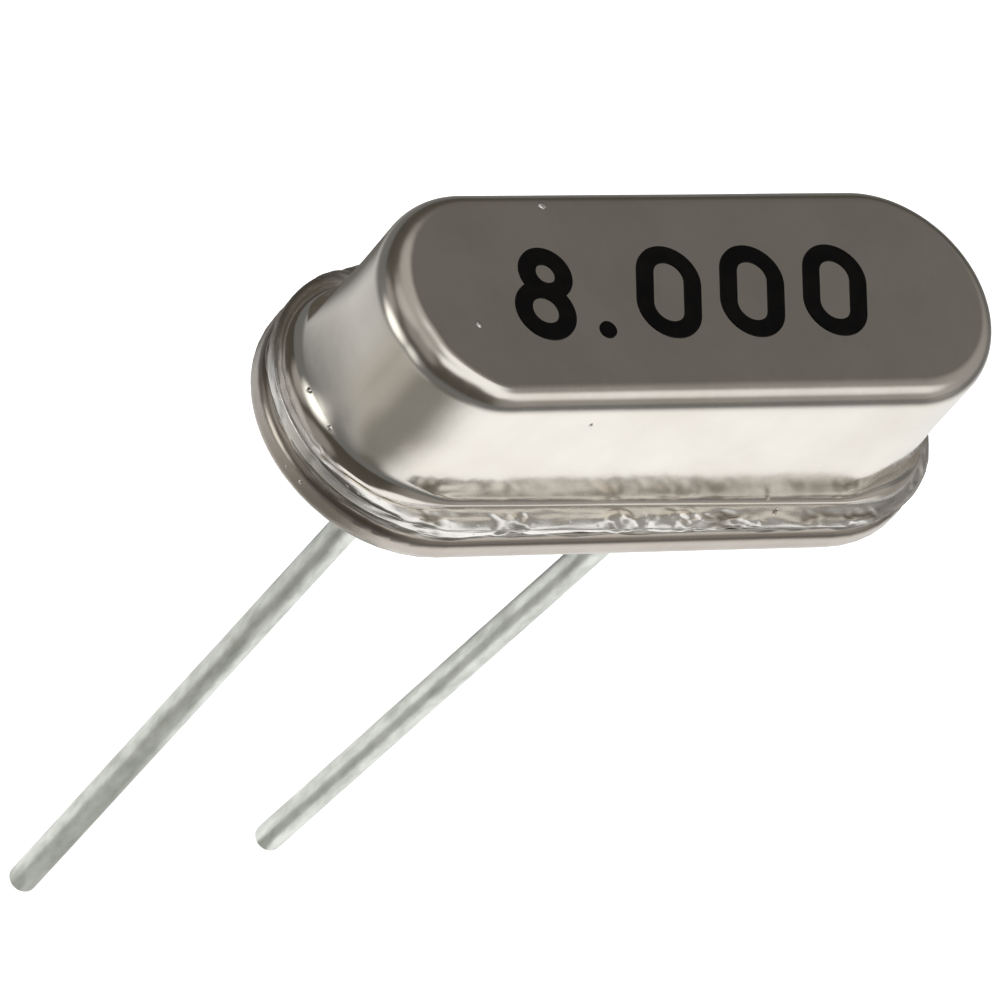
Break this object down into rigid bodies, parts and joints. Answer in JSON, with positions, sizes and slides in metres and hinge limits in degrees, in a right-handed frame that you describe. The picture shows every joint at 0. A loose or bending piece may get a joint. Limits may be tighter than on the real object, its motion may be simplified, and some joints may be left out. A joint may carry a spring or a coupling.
{
  "type": "crystal oscillator",
  "caption": "Low-profile stadium-shaped metal can welded by its flange to a stamped header, with round wire leads in glass seals and a clip-mounted quartz blank inside.",
  "frame": {"origin": "centre of the header's underside, on the seating plane that rests on a circuit board, midway between the leads", "axes": "+X along the can's length and along the printed numerals, +Y across the can towards the numerals' top, +Z out of the can's top; the leads run down towards -Z"},
  "size_m": [0.0108, 0.0044, 0.0165],
  "materials": {
    "nickel_plated_can": "bright nickel plate on drawn steel, softly polished",
    "nickel_plated_header": "bright nickel plate on stamped steel",
    "weld_metal": "fused and slightly oxidised",
    "sealing_glass": "dark green compression glass",
    "tinned_wire": "satin hot-tinned wire",
    "spring_clip_metal": "plain nickel-silver spring strip",
    "quartz": "lapped and polished",
    "silver_film": "evaporated silver",
    "silver_adhesive": "cured silver-filled resin, matt",
    "marking_ink": "stamped black ink"
  },
  "bodies": {
    "root": {"can": "nickel_plated_can", "header": "nickel_plated_header", "weld_bead": "weld_metal", "left_glass_seal": "sealing_glass", "right_glass_seal": "sealing_glass", "left_lead": "tinned_wire", "right_lead": "tinned_wire", "left_clip": "spring_clip_metal", "right_clip": "spring_clip_metal", "quartz_blank": "quartz", "upper_electrode": "silver_film", "lower_electrode": "silver_film", "left_adhesive": "silver_adhesive", "right_adhesive": "silver_adhesive", "printed_numerals": "marking_ink"}
  },
  "joints": []
}
